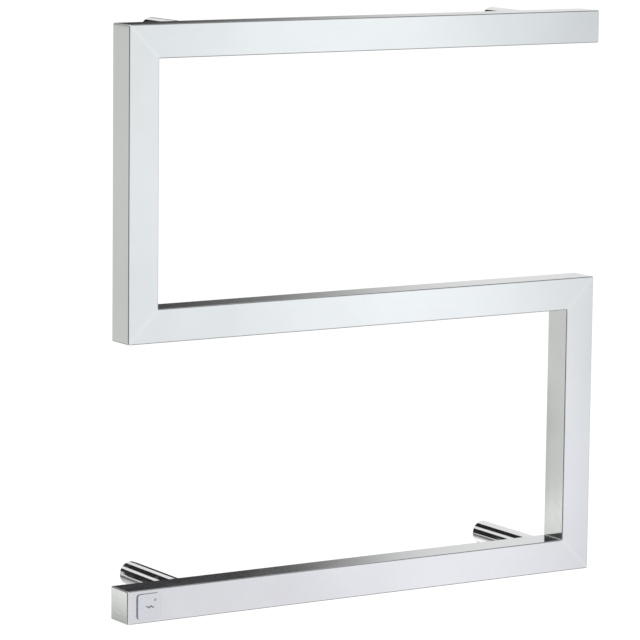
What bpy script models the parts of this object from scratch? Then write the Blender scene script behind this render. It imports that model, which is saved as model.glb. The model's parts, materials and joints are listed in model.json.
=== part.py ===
"""A wall-hung electric towel warmer: a square stainless tube carried round in an S, held off the
wall by four round posts, with a push switch near the free left end of its bottom bar.

X runs to the right, Y into the wall and Z up. The wall is the plane y = 0, and the origin is
the middle of the rail's outline on that plane. Lengths are in metres.
"""

import math

import bmesh
import bpy
from mathutils import Vector

# The rail
RAIL_WIDTH = 0.500
RAIL_HEIGHT = 0.530
WALL_GAP = 0.100  # from the wall to the backs of the bars

# The square tube
TUBE_SIDE = 0.030
TUBE_WALL = 0.0015
TUBE_EDGE = 0.0012  # outer edge radius
INNER_EDGE = 0.0004
CAP_PLATE = 0.0015
CAP_CHAMFER = 0.0005
CAP_BOSS = 0.006  # how far a cap reaches into its tube
CAP_BOSS_WALL = 0.002

# Clearances
GAP = 0.0003  # between fixed pieces that rest on each other
SLIDE_FIT = 0.0003  # each side of the push pad's skirt

# The posts and their fixings
POST_DIAMETER = 0.022
POST_WALL = 0.0015
POST_CHAMFER = 0.0004
UPPER_LEFT_INSET = 0.094  # post centres, from the nearer end of the rail
LOWER_LEFT_INSET = 0.075
RIGHT_INSET = 0.033
SPIGOT_LENGTH = 0.013
SPIGOT_CHAMFER = 0.0008
SPIGOT_GROOVE = 0.0012  # depth of the ring that the grub screw bears in
GROOVE_WIDTH = 0.005
GRUB_PLACE = 0.007  # from the wall
GRUB_DIAMETER = 0.004
GRUB_SOCKET = 0.0020  # across flats
GRUB_SOCKET_DEPTH = 0.0012
WALL_SCREW_HOLE = 0.0055
WALL_SCREW_HEAD = 0.0105
PLUG_LENGTH = 0.008
STUD_DIAMETER = 0.006
HOLLOW_STUD_DIAMETER = 0.009  # at the lower left, where the supply comes in
HOLLOW_STUD_BORE = 0.0065
STUD_SOCKET = 0.003
STUD_SOCKET_DEPTH = 0.003
NUT_FLANGE = 0.0010  # thickness
NUT_FLANGE_RIM = 0.0015
NUT_WALL = 0.0012
NUT_LENGTH = 0.011
LOCK_NUT_LENGTH = 0.003
LOCK_NUT_RIM = 0.002
EARTH_RING = 0.0008  # thickness
EARTH_TAB = 0.014  # from the ring's middle to the tab's end
CABLE_HOLE = 0.0086
BUSH_WALL = 0.0010
BUSH_FLANGE = (0.0012, 0.0012)  # thickness and rim
SIDE_SCREW_HOLE = 0.0026

# The switch
PAD_RIM = 0.0035  # of the bar's face, above and below the pad
PAD_CORNER = 0.003
PAD_PLATE = 0.0011
PAD_EDGE = 0.0004
PAD_END_MARGIN = 0.010  # from the bottom bar's free end to the pad
PAD_TRAVEL = 0.0005
PAD_STOP_GAP = 0.0002  # left under the pad when it is pushed home
FRAME_FLANGE = 0.0004
FRAME_OVERHANG = 0.0007  # flange beyond the sleeve
SHADOW_LINE = 0.0006  # pad beyond the flange
SLEEVE_WALL = 0.0008
SLEEVE_DEPTH = 0.006
SKIRT_WALL = 0.0012
SNAP_REACH = 0.0006
SNAP_WIDTH = 0.005
SNAP_THICKNESS = 0.0012
PLUNGER_DIAMETER = 0.0028
LENS_DIAMETER = 0.0018
LENS_INSET = (0.0060, 0.0057)  # from the pad's right and upper edges to the lens's middle
LENS_COLLAR = 0.0004
LENS_CROWN = (0.0013, 0.0001)  # diameter and height of the lens's front, ahead of the pad
HOUSING_WALL = 0.001
HOUSING_DEPTH = 0.0145
BOARD_DEPTH = 0.0105  # from the tube's front face to the board
BOARD_THICKNESS = 0.0012
KEY_SIDE = 0.0045
KEY_HEIGHT = 0.0034
KEY_STEM = (0.0030, 0.0008)  # diameter and height
LED_SIZE = (0.0016, 0.0008, 0.0007)
SPRING_DIAMETER = 0.0040
SPRING_WIRE = 0.0004
SPRING_TURNS = 4.5

# The heating and the wiring
CABLE_DIAMETER = 0.0045
CABLE_OFFSET = 0.006  # each leg, from the middle of the tube
CABLE_DEPTH = 0.0075  # from the tube's front face to the cable's middle
CABLE_BEND = 0.012
CABLE_START = 0.022  # right of the lower left post
CABLE_END_MARGIN = 0.018
SPACER_LENGTH = 0.008
SPACER_EDGE = 0.0012
SPACER_FIT = 0.0004
BLOCK_SIZE = (0.016, 0.011, 0.019)
BLOCK_MARGIN = 0.009  # between the terminal block and the post's nut
BLOCK_TUNNEL = 0.0030
LEAD_DIAMETER = 0.0024
CRIMP_LENGTH = 0.009
CRIMP_WALL = 0.0007
CUTOUT_DIAMETER = 0.006
CUTOUT_LENGTH = 0.018
CUTOUT_PLACE = 0.045  # right of the lower left post

# Facets
POST_SIDES = 40
ROUND_SIDES = 24
SMALL_SIDES = 18  # a multiple of 6, for the hexagons
CORNER_STEPS = 3
BEND_STEPS = 5  # in each bend of the heating cable
LOOP_STEPS = 8  # in its turn at the far end
SPRING_STEPS = 10  # in each turn of the spring
SMOOTH_BELOW = math.radians(40)  # edges that turn less are shaded smooth

# Directions in which a piece's own Z axis can point, as Euler angles
OUT = (math.pi / 2, 0, 0)  # away from the wall
IN = (-math.pi / 2, 0, 0)  # into the wall
RIGHT = (0, math.pi / 2, 0)
LEFT = (0, -math.pi / 2, 0)
DOWN = (math.pi, 0, 0)

# Places that follow from the sizes above
HALF_WIDTH = RAIL_WIDTH / 2
HALF_HEIGHT = RAIL_HEIGHT / 2
UPRIGHT_X = HALF_WIDTH - TUBE_SIDE / 2
BAR_Z = HALF_HEIGHT - TUBE_SIDE / 2
BACK_Y = -WALL_GAP
TUBE_Y = BACK_Y - TUBE_SIDE / 2
FRONT_Y = BACK_Y - TUBE_SIDE
TUBE_INSIDE = TUBE_SIDE - 2 * TUBE_WALL
POST_INSIDE = POST_DIAMETER - 2 * POST_WALL
POSTS = {
    "upper_left": (-HALF_WIDTH + UPPER_LEFT_INSET, BAR_Z),
    "upper_right": (HALF_WIDTH - RIGHT_INSET, BAR_Z),
    "lower_left": (-HALF_WIDTH + LOWER_LEFT_INSET, -BAR_Z),
    "lower_right": (HALF_WIDTH - RIGHT_INSET, -BAR_Z),
}
SUPPLY_POST = "lower_left"
NUT_SEAT_Y = BACK_Y + GAP  # a rivet nut's flange rests here
PLUG_FRONT_Y = NUT_SEAT_Y + NUT_FLANGE + GAP
PAD_SIDE = TUBE_SIDE - 2 * PAD_RIM
PAD_X = -HALF_WIDTH + PAD_END_MARGIN + PAD_SIDE / 2
PAD_Z = -BAR_Z
LENS_PLACE = (PAD_SIDE / 2 - LENS_INSET[0], PAD_SIDE / 2 - LENS_INSET[1])
FLANGE_SIDE = PAD_SIDE - 2 * SHADOW_LINE
SLEEVE_SIDE = FLANGE_SIDE - 2 * FRAME_OVERHANG
SKIRT_SIDE = SLEEVE_SIDE - 2 * SLEEVE_WALL - 2 * SLIDE_FIT
FLANGE_FRONT = GAP + FRAME_FLANGE  # ahead of the tube's front face
PAD_BACK = FLANGE_FRONT + PAD_TRAVEL + PAD_STOP_GAP
SKIRT_DEPTH = PAD_BACK + SLEEVE_DEPTH + GAP + SNAP_THICKNESS
HOUSING_SIDE = SLEEVE_SIDE + 2 * GAP + 2 * HOUSING_WALL + 2 * SNAP_REACH
CABLE_Y = FRONT_Y + CABLE_DEPTH
SUPPLY_X = POSTS[SUPPLY_POST][0]
CABLE_START_X = SUPPLY_X + CABLE_START
BLOCK_X = SUPPLY_X - HOLLOW_STUD_DIAMETER / 2 - BLOCK_MARGIN - BLOCK_SIZE[0] / 2


# Materials


def finish(name, colour, roughness, metallic=0.0):
    """A Principled material in one colour."""
    made = bpy.data.materials.new(name)
    made.use_nodes = True
    shader = made.node_tree.nodes["Principled BSDF"]
    shader.inputs["Base Color"].default_value = (*colour, 1)
    shader.inputs["Roughness"].default_value = roughness
    shader.inputs["Metallic"].default_value = metallic
    made.diffuse_color = (*colour, 1)
    return made


def clear_scene():
    for old in list(bpy.data.objects):
        bpy.data.objects.remove(old)


# Outlines, as lists of (x, y)


def circle(diameter, sides=ROUND_SIDES):
    return [
        (diameter / 2 * math.cos(turn), diameter / 2 * math.sin(turn))
        for turn in (2 * math.pi * i / sides for i in range(sides))
    ]


def square(side, corner):
    """A square with a quarter circle at each corner."""
    points = []
    inset = side / 2 - corner
    for quarter in range(4):
        start = quarter * math.pi / 2
        middle_x = inset * (1 if quarter in (0, 3) else -1)
        middle_y = inset * (1 if quarter in (0, 1) else -1)
        for step in range(CORNER_STEPS + 1):
            turn = start + math.pi / 2 * step / CORNER_STEPS
            points.append((middle_x + corner * math.cos(turn), middle_y + corner * math.sin(turn)))
    return points


def hexagon(across_flats, sides=SMALL_SIDES):
    """A hexagon drawn with as many points as a circle, so that the two can be bridged."""
    points = []
    for i in range(sides):
        turn = 2 * math.pi * i / sides
        off_flat = (turn + math.pi / 6) % (math.pi / 3) - math.pi / 6
        reach = across_flats / 2 / math.cos(off_flat)
        points.append((reach * math.cos(turn), reach * math.sin(turn)))
    return points


def at(height, outline):
    """The outline as a ring of points at one height."""
    return [(x, y, height) for x, y in outline]


# Solids


def place(name, mesh, material, location=(0, 0, 0), turn=(0, 0, 0)):
    """Links a finished mesh as an object of the rack."""
    mesh.shade_smooth()
    mesh.set_sharp_from_angle(angle=SMOOTH_BELOW)
    mesh.materials.append(material)
    made = bpy.data.objects.new(name, mesh)
    bpy.context.scene.collection.objects.link(made)
    made.location = location
    made.rotation_euler = turn
    return made


def skin(name, rings, through=False):
    """A mesh over rings with equal counts of points. Through pieces close on themselves, and the
    others get a flat face on their first and last rings."""
    shell = bmesh.new()
    loops = [[shell.verts.new(point) for point in ring] for ring in rings]
    pairs = list(zip(loops, loops[1:]))
    if through:
        pairs.append((loops[-1], loops[0]))
    else:
        shell.faces.new(loops[0])
        shell.faces.new(loops[-1])
    for first, second in pairs:
        for i, corner in enumerate(first):
            j = (i + 1) % len(first)
            shell.faces.new((corner, first[j], second[j], second[i]))
    bmesh.ops.recalc_face_normals(shell, faces=shell.faces)
    mesh = bpy.data.meshes.new(name)
    shell.to_mesh(mesh)
    shell.free()
    return mesh


def box_mesh(name, size, middle=(0, 0, 0)):
    """A plain box, given its three sides and its middle."""
    shell = bmesh.new()
    bmesh.ops.create_cube(shell, size=1)
    bmesh.ops.scale(shell, vec=size, verts=shell.verts)
    bmesh.ops.translate(shell, vec=middle, verts=shell.verts)
    mesh = bpy.data.meshes.new(name)
    shell.to_mesh(mesh)
    shell.free()
    return mesh


def rod_mesh(name, diameter, start, end, sides=SMALL_SIDES, middle=(0, 0)):
    """A plain cylinder along Z."""
    outline = [(x + middle[0], y + middle[1]) for x, y in circle(diameter, sides)]
    return skin(name, [at(start, outline), at(end, outline)])


def shape_with(target, mesh, operation):
    """Adds the mesh to the target, or cuts it away. The mesh is in the target's own axes."""
    tool = bpy.data.objects.new(mesh.name, mesh)
    bpy.context.scene.collection.objects.link(tool)
    tool.hide_render = True
    tool.display_type = "WIRE"
    tool.parent = target
    step = target.modifiers.new(mesh.name, "BOOLEAN")
    step.operation = operation
    step.solver = "EXACT"
    step.object = tool


def wire(name, points, diameter, material, resolution=2):
    """A round wire along the points, with closed ends."""
    path = bpy.data.curves.new(name, "CURVE")
    path.dimensions = "3D"
    path.bevel_depth = diameter / 2
    path.bevel_resolution = resolution
    path.use_fill_caps = True
    line = path.splines.new("POLY")
    line.points.add(len(points) - 1)
    for spot, point in zip(line.points, points):
        spot.co = (*point, 1)
    path.materials.append(material)
    made = bpy.data.objects.new(name, path)
    bpy.context.scene.collection.objects.link(made)
    return made


# The S-shaped tube


def tube(name, material, upright, across, start, end, start_mitre, end_mitre):
    """One hollow length of the square tube. A mitre is how far an end moves along the tube for
    each metre across it: 1 or -1 at a corner, and 0 at a square end."""
    pull = GAP / math.sqrt(2)
    ends = (
        (start + abs(start_mitre) * pull, start_mitre),
        (end - abs(end_mitre) * pull, end_mitre),
    )
    outer = square(TUBE_SIDE, TUBE_EDGE)
    inner = square(TUBE_INSIDE, INNER_EDGE)

    def ring(outline, where, mitre):
        if upright:
            return [(across + u, TUBE_Y + v, where + mitre * u) for u, v in outline]
        return [(where + mitre * u, TUBE_Y + v, across + u) for u, v in outline]

    rings = [
        ring(outer, *ends[0]),
        ring(outer, *ends[1]),
        ring(inner, *ends[1]),
        ring(inner, *ends[0]),
    ]
    return place(name, skin(name, rings, through=True), material)


def nut_body(stud):
    """A rivet nut's diameter behind the bar's wall."""
    return stud + 2 * GAP + 2 * NUT_WALL


def drill_post_holes(bar, names):
    """The holes in a bar's back wall that its rivet nuts pass through."""
    for name in names:
        x, z = POSTS[name]
        hole = nut_body(stud_of(name)) + 2 * GAP
        outline = [(x + u, z + v) for u, v in circle(hole, ROUND_SIDES)]
        rings = [
            [(u, y, v) for u, v in outline]
            for y in (BACK_Y - 2 * TUBE_WALL, BACK_Y + TUBE_WALL)
        ]
        shape_with(bar, skin(f"hole_{name}", rings), "DIFFERENCE")


def build_tubes(steel):
    square_end = HALF_WIDTH - CAP_PLATE - GAP
    top = tube("top_bar", steel, False, BAR_Z, -UPRIGHT_X, square_end, -1, 0)
    tube("left_upright", steel, True, -UPRIGHT_X, 0, BAR_Z, 1, -1)
    tube("middle_bar", steel, False, 0, -UPRIGHT_X, UPRIGHT_X, 1, 1)
    tube("right_upright", steel, True, UPRIGHT_X, -BAR_Z, 0, -1, 1)
    bottom = tube("bottom_bar", steel, False, -BAR_Z, -square_end, UPRIGHT_X, 0, -1)
    drill_post_holes(top, ("upper_left", "upper_right"))
    drill_post_holes(bottom, ("lower_left", "lower_right"))
    outline = square(SLEEVE_SIDE + 2 * GAP, PAD_CORNER)
    rings = [
        [(PAD_X + u, y, PAD_Z + v) for u, v in outline]
        for y in (FRONT_Y - TUBE_WALL, FRONT_Y + 2 * TUBE_WALL)
    ]
    shape_with(bottom, skin("switch_hole", rings), "DIFFERENCE")


def build_caps(steel):
    boss = TUBE_INSIDE - 2 * GAP
    rings = [
        at(0, square(TUBE_SIDE - 2 * CAP_CHAMFER, TUBE_EDGE)),
        at(CAP_CHAMFER, square(TUBE_SIDE, TUBE_EDGE)),
        at(CAP_PLATE, square(TUBE_SIDE, TUBE_EDGE)),
        at(CAP_PLATE, square(boss, INNER_EDGE + GAP)),
        at(CAP_PLATE + CAP_BOSS, square(boss, INNER_EDGE + GAP)),
        at(CAP_PLATE + CAP_BOSS, square(boss - 2 * CAP_BOSS_WALL, INNER_EDGE)),
        at(CAP_PLATE, square(boss - 2 * CAP_BOSS_WALL, INNER_EDGE)),
    ]
    for name, end, z, turn in (
        ("bottom_end_cap", -HALF_WIDTH, -BAR_Z, RIGHT),
        ("top_end_cap", HALF_WIDTH, BAR_Z, LEFT),
    ):
        place(name, skin(name, rings), steel, (end, TUBE_Y, z), turn)


# The posts


def stud_of(name):
    return HOLLOW_STUD_DIAMETER if name == SUPPLY_POST else STUD_DIAMETER


def build_post(name, chrome):
    x, z = POSTS[name]
    outer = POST_DIAMETER
    wall_end = GAP
    bar_end = WALL_GAP - GAP
    rings = [
        at(wall_end, circle(outer - 2 * POST_CHAMFER, POST_SIDES)),
        at(wall_end + POST_CHAMFER, circle(outer, POST_SIDES)),
        at(bar_end - POST_CHAMFER, circle(outer, POST_SIDES)),
        at(bar_end, circle(outer - 2 * POST_CHAMFER, POST_SIDES)),
        at(bar_end, circle(POST_INSIDE, POST_SIDES)),
        at(wall_end, circle(POST_INSIDE, POST_SIDES)),
    ]
    post = place(f"post_{name}", skin("post", rings, through=True), chrome, (x, 0, z), OUT)
    hole = circle(GRUB_DIAMETER + 2 * GAP, SMALL_SIDES)
    rings = [
        [(u, height, GRUB_PLACE + v) for u, v in hole]
        for height in (-outer, -POST_INSIDE / 4)
    ]
    shape_with(post, skin(f"grub_hole_{name}", rings), "DIFFERENCE")


def build_spigot(name, steel):
    """The turned piece that is screwed to the wall. The supply's one has side screws instead."""
    x, z = POSTS[name]
    supply = name == SUPPLY_POST
    body = POST_INSIDE - 2 * GAP
    neck = body - 2 * SPIGOT_GROOVE
    bore = CABLE_HOLE if supply else WALL_SCREW_HOLE
    groove = (GRUB_PLACE - GROOVE_WIDTH / 2, GRUB_PLACE + GROOVE_WIDTH / 2)
    rings = [
        at(0, circle(body)),
        at(groove[0], circle(body)),
        at(groove[0], circle(neck)),
        at(groove[1], circle(neck)),
        at(groove[1], circle(body)),
        at(SPIGOT_LENGTH - SPIGOT_CHAMFER, circle(body)),
        at(SPIGOT_LENGTH, circle(body - 2 * SPIGOT_CHAMFER)),
    ]
    if supply:
        rings.append(at(SPIGOT_LENGTH, circle(bore)))
    else:
        countersink = (WALL_SCREW_HEAD - bore) / 2
        rings.append(at(SPIGOT_LENGTH, circle(WALL_SCREW_HEAD)))
        rings.append(at(SPIGOT_LENGTH - countersink, circle(bore)))
    rings.append(at(0, circle(bore)))
    mesh = skin("spigot", rings, through=True)
    spigot = place(f"wall_spigot_{name}", mesh, steel, (x, 0, z), OUT)
    if supply:
        beside = (bore + neck) / 4  # halfway between the cable's hole and the groove
        half_facet = math.pi / ROUND_SIDES  # keeps the spigot's edges off the holes' middles
        for side, turn in (("right", half_facet), ("left", math.pi + half_facet)):
            middle = (beside * math.cos(turn), beside * math.sin(turn))
            drill = rod_mesh(
                f"screw_hole_{side}", SIDE_SCREW_HOLE, -GAP, SPIGOT_LENGTH + GAP, middle=middle
            )
            shape_with(spigot, drill, "DIFFERENCE")


def build_grub_screw(name, steel):
    """A socket set screw through the underside of the post, into the spigot's groove."""
    x, z = POSTS[name]
    neck = (POST_INSIDE - 2 * GAP) / 2 - SPIGOT_GROOVE
    length = POST_DIAMETER / 2 - GAP - (neck + GAP)
    rings = [
        at(0, circle(GRUB_DIAMETER / 2, SMALL_SIDES)),
        at(GRUB_DIAMETER / 4, circle(GRUB_DIAMETER, SMALL_SIDES)),
        at(length, circle(GRUB_DIAMETER, SMALL_SIDES)),
        at(length, hexagon(GRUB_SOCKET)),
        at(length - GRUB_SOCKET_DEPTH, hexagon(GRUB_SOCKET)),
    ]
    spot = (x, -GRUB_PLACE, z - neck - GAP)
    place(f"grub_screw_{name}", skin("grub_screw", rings), steel, spot, DOWN)


def build_post_joint(name, steel):
    """What fixes a post to its bar: plug, stud and rivet nut."""
    x, z = POSTS[name]
    stud = stud_of(name)
    plug = POST_INSIDE - 2 * GAP
    bore = stud + 2 * GAP
    rings = [
        at(0, circle(plug)),
        at(PLUG_LENGTH, circle(plug)),
        at(PLUG_LENGTH, circle(bore)),
        at(0, circle(bore)),
    ]
    mesh = skin("front_plug", rings, through=True)
    place(f"front_plug_{name}", mesh, steel, (x, PLUG_FRONT_Y, z), IN)

    body = nut_body(stud)
    flange = body + 2 * NUT_FLANGE_RIM
    rings = [
        at(-NUT_FLANGE, circle(flange)),
        at(0, circle(flange)),
        at(0, circle(body)),
        at(NUT_LENGTH, circle(body)),
        at(NUT_LENGTH, circle(bore)),
        at(-NUT_FLANGE, circle(bore)),
    ]
    mesh = skin("rivet_nut", rings, through=True)
    place(f"rivet_nut_{name}", mesh, steel, (x, NUT_SEAT_Y, z), OUT)

    front = NUT_SEAT_Y - NUT_LENGTH
    if name == SUPPLY_POST:
        front -= 3 * GAP + EARTH_RING + LOCK_NUT_LENGTH
    length = PLUG_FRONT_Y + PLUG_LENGTH - GAP - front
    sides = circle(stud, SMALL_SIDES)
    if name == SUPPLY_POST:
        hole = circle(HOLLOW_STUD_BORE, SMALL_SIDES)
        rings = [at(0, sides), at(length, sides), at(length, hole), at(0, hole)]
        mesh = skin("hollow_stud", rings, through=True)
    else:
        socket = hexagon(STUD_SOCKET)
        rings = [at(length, sides), at(0, sides), at(0, socket), at(STUD_SOCKET_DEPTH, socket)]
        mesh = skin("stud", rings)
    place(f"stud_{name}", mesh, steel, (x, front, z), IN)


def build_supply_inlet(steel, copper, rubber):
    """The bush in the wall spigot, and the earth ring under its lock nut inside the bar."""
    x, z = POSTS[SUPPLY_POST]
    thickness, rim = BUSH_FLANGE
    outer = CABLE_HOLE - 2 * GAP
    bore = outer - 2 * BUSH_WALL
    flange_start = SPIGOT_LENGTH + GAP
    rings = [
        at(GAP, circle(outer)),
        at(flange_start, circle(outer)),
        at(flange_start, circle(outer + 2 * rim)),
        at(flange_start + thickness, circle(outer + 2 * rim)),
        at(flange_start + thickness, circle(bore)),
        at(GAP, circle(bore)),
    ]
    place("cable_bush", skin("cable_bush", rings, through=True), rubber, (x, 0, z), OUT)

    ring_y = NUT_SEAT_Y - NUT_LENGTH - GAP
    bore = HOLLOW_STUD_DIAMETER + 2 * GAP
    ring_outer = bore + 2 * LOCK_NUT_RIM
    rings = [
        at(0, circle(ring_outer, SMALL_SIDES)),
        at(EARTH_RING, circle(ring_outer, SMALL_SIDES)),
        at(EARTH_RING, circle(bore, SMALL_SIDES)),
        at(0, circle(bore, SMALL_SIDES)),
    ]
    mesh = skin("earth_ring", rings, through=True)
    ring = place("earth_ring", mesh, copper, (x, ring_y, z), OUT)
    tab_start = (bore + ring_outer) / 4  # halfway across the ring
    tab = box_mesh(
        "earth_tab",
        (EARTH_TAB - tab_start, bore / 2, EARTH_RING),
        ((EARTH_TAB + tab_start) / 2, 0, EARTH_RING / 2),
    )
    shape_with(ring, tab, "UNION")

    nut_y = ring_y - EARTH_RING - GAP
    flats = hexagon(ring_outer)
    hole = circle(bore, SMALL_SIDES)
    rings = [at(0, flats), at(LOCK_NUT_LENGTH, flats), at(LOCK_NUT_LENGTH, hole), at(0, hole)]
    place("lock_nut", skin("lock_nut", rings, through=True), steel, (x, nut_y, z), OUT)


# The switch


def build_switch_frame(plastic):
    """The guide that is clipped through the bar's front wall."""
    corner = PAD_CORNER
    sleeve_inside = SLEEVE_SIDE - 2 * SLEEVE_WALL
    flange = square(FLANGE_SIDE, corner)
    sleeve = square(SLEEVE_SIDE, corner - GAP)
    bore = square(sleeve_inside, corner - SLEEVE_WALL)
    rings = [
        at(FLANGE_FRONT, flange),
        at(GAP, flange),
        at(GAP, sleeve),
        at(-SLEEVE_DEPTH, sleeve),
        at(-SLEEVE_DEPTH, bore),
        at(FLANGE_FRONT, bore),
    ]
    mesh = skin("switch_frame", rings, through=True)
    place("switch_frame", mesh, plastic, (PAD_X, FRONT_Y, PAD_Z), OUT)


def build_switch_housing(plastic):
    """An open box behind the front wall, with a hole for the leads in its floor."""
    corner = PAD_CORNER
    outer = square(HOUSING_SIDE, corner)
    inner = square(HOUSING_SIDE - 2 * HOUSING_WALL, corner - HOUSING_WALL)
    front = TUBE_WALL + GAP
    rings = [
        at(HOUSING_DEPTH - HOUSING_WALL, inner),
        at(front, inner),
        at(front, outer),
        at(HOUSING_DEPTH, outer),
    ]
    mesh = skin("switch_housing", rings)
    box = place("switch_housing", mesh, plastic, (PAD_X, FRONT_Y, PAD_Z), IN)
    hole = rod_mesh(
        "lead_hole", BLOCK_TUNNEL, HOUSING_DEPTH - 2 * HOUSING_WALL, HOUSING_DEPTH + HOUSING_WALL,
        middle=(HOUSING_SIDE / 4, 0),
    )
    shape_with(box, hole, "DIFFERENCE")


def build_board(board_green, dark_plastic, led_white):
    """The board, the key that the pad's plunger presses, and the light behind the lens."""
    side = HOUSING_SIDE - 2 * HOUSING_WALL - 2 * GAP
    board = square(side, PAD_CORNER - HOUSING_WALL)
    board_y = FRONT_Y + BOARD_DEPTH
    rings = [at(0, board), at(BOARD_THICKNESS, board)]
    place("circuit_board", skin("circuit_board", rings), board_green, (PAD_X, board_y, PAD_Z), IN)

    key = box_mesh("tactile_switch", (KEY_SIDE, KEY_SIDE, KEY_HEIGHT), (0, 0, GAP + KEY_HEIGHT / 2))
    key = place("tactile_switch", key, dark_plastic, (PAD_X, board_y, PAD_Z), OUT)
    diameter, height = KEY_STEM
    stem = rod_mesh("key_stem", diameter, KEY_HEIGHT / 2, GAP + KEY_HEIGHT + height)
    shape_with(key, stem, "UNION")

    light = box_mesh("indicator_led", LED_SIZE, (*LENS_PLACE, GAP + LED_SIZE[2] / 2))
    place("indicator_led", light, led_white, (PAD_X, board_y, PAD_Z), OUT)


def build_button(slide, pale_plastic, clear):
    """The push pad and its lens. Their origin is the slide, on the pad's middle line, and their
    own Z axis points away from the wall."""
    skirt = square(SKIRT_SIDE, PAD_CORNER - SLEEVE_WALL - SLIDE_FIT)
    skirt_inside = square(SKIRT_SIDE - 2 * SKIRT_WALL, PAD_CORNER - SLEEVE_WALL - SKIRT_WALL)
    rings = [
        at(PAD_BACK, skirt_inside),
        at(PAD_BACK - SKIRT_DEPTH, skirt_inside),
        at(PAD_BACK - SKIRT_DEPTH, skirt),
        at(PAD_BACK, skirt),
        at(PAD_BACK, square(PAD_SIDE, PAD_CORNER)),
    ]
    for step in range(CORNER_STEPS + 1):
        turn = math.pi / 2 * step / CORNER_STEPS
        inset = PAD_EDGE * (1 - math.cos(turn))
        height = PAD_BACK + PAD_PLATE - PAD_EDGE * (1 - math.sin(turn))
        rings.append(at(height, square(PAD_SIDE - 2 * inset, PAD_CORNER - inset)))
    pad = place("switch_button", skin("switch_button", rings), pale_plastic)
    pad.parent = slide

    key_top = -BOARD_DEPTH + GAP + KEY_HEIGHT + KEY_STEM[1]
    tip = key_top + PAD_TRAVEL + GAP
    plunger = rod_mesh("plunger", PLUNGER_DIAMETER, tip, PAD_BACK + PAD_PLATE / 2)
    shape_with(pad, plunger, "UNION")
    snap_front = -SLEEVE_DEPTH - GAP
    for side in (-1, 1):
        size = (SKIRT_WALL / 2 + SNAP_REACH, SNAP_WIDTH, SNAP_THICKNESS - GAP)
        middle_x = side * (SKIRT_SIDE / 2 + SNAP_REACH - size[0] / 2)
        snap = box_mesh(f"snap_{side}", size, (middle_x, 0, snap_front - size[2] / 2))
        shape_with(pad, snap, "UNION")
    hole = rod_mesh(
        "lens_hole", LENS_DIAMETER + 2 * GAP, PAD_BACK - PAD_PLATE, PAD_BACK + 2 * PAD_PLATE,
        middle=LENS_PLACE,
    )
    shape_with(pad, hole, "DIFFERENCE")

    collar = LENS_DIAMETER + 2 * GAP + 2 * LENS_COLLAR
    led_top = -BOARD_DEPTH + GAP + LED_SIZE[2]
    rings = [
        at(led_top + PAD_TRAVEL + GAP, circle(LENS_DIAMETER, SMALL_SIDES)),
        at(PAD_BACK - GAP - LENS_COLLAR, circle(LENS_DIAMETER, SMALL_SIDES)),
        at(PAD_BACK - GAP - LENS_COLLAR, circle(collar, SMALL_SIDES)),
        at(PAD_BACK - GAP, circle(collar, SMALL_SIDES)),
        at(PAD_BACK - GAP, circle(LENS_DIAMETER, SMALL_SIDES)),
        at(PAD_BACK + PAD_PLATE, circle(LENS_DIAMETER, SMALL_SIDES)),
        at(PAD_BACK + PAD_PLATE + LENS_CROWN[1], circle(LENS_CROWN[0], SMALL_SIDES)),
    ]
    lens = place("indicator_lens", skin("indicator_lens", rings), clear, (*LENS_PLACE, 0))
    lens.parent = slide


def build_spring(steel):
    """The coil between the key and the pad, round the plunger."""
    back = FRONT_Y + BOARD_DEPTH - KEY_HEIGHT - 2 * GAP - SPRING_WIRE / 2
    front = FRONT_Y - PAD_BACK + GAP + SPRING_WIRE / 2
    steps = int(SPRING_TURNS * SPRING_STEPS)
    points = []
    for i in range(steps + 1):
        turn = 2 * math.pi * SPRING_TURNS * i / steps
        points.append((
            PAD_X + SPRING_DIAMETER / 2 * math.cos(turn),
            back + (front - back) * i / steps,
            PAD_Z + SPRING_DIAMETER / 2 * math.sin(turn),
        ))
    wire("button_spring", points, SPRING_WIRE, steel, resolution=1)


# The heating and the wiring


def rounded_route(corners, radius, offset):
    """A route in the plane of the bars beside the line of corners: offset to its left, with each
    corner turned as an arc about the same middle as the line's own arc."""
    points = []
    for before, corner, after in zip(corners, corners[1:], corners[2:]):
        arriving = (Vector(corner) - Vector(before)).normalized()
        leaving = (Vector(after) - Vector(corner)).normalized()
        turn_left = arriving.x * leaving.y - arriving.y * leaving.x > 0
        inward = leaving - arriving
        middle = Vector(corner) + radius * inward
        bend = radius - offset if turn_left else radius + offset
        for i in range(BEND_STEPS + 1):
            angle = math.pi / 2 * i / BEND_STEPS
            points.append(middle - bend * (leaving * math.cos(angle) - arriving * math.sin(angle)))
    first = (Vector(corners[1]) - Vector(corners[0])).normalized()
    last = (Vector(corners[-1]) - Vector(corners[-2])).normalized()
    points.insert(0, Vector(corners[0]) + offset * Vector((-first.y, first.x)))
    points.append(Vector(corners[-1]) + offset * Vector((-last.y, last.x)))
    return points


def build_heating_cable(silicone):
    """Out along the S on one side of its middle line, round, and back on the other."""
    line = [
        (CABLE_START_X, -BAR_Z),
        (UPRIGHT_X, -BAR_Z),
        (UPRIGHT_X, 0),
        (-UPRIGHT_X, 0),
        (-UPRIGHT_X, BAR_Z),
        (HALF_WIDTH - CABLE_END_MARGIN, BAR_Z),
    ]
    out = rounded_route(line, CABLE_BEND, -CABLE_OFFSET)
    back = rounded_route(line, CABLE_BEND, CABLE_OFFSET)
    end = Vector(line[-1])
    loop = [
        end + CABLE_OFFSET * Vector((math.sin(turn), -math.cos(turn)))
        for turn in (math.pi * i / LOOP_STEPS for i in range(1, LOOP_STEPS))
    ]
    route = out + loop + back[::-1]
    wire("heating_cable", [(x, CABLE_Y, z) for x, z in route], CABLE_DIAMETER, silicone)


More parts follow.
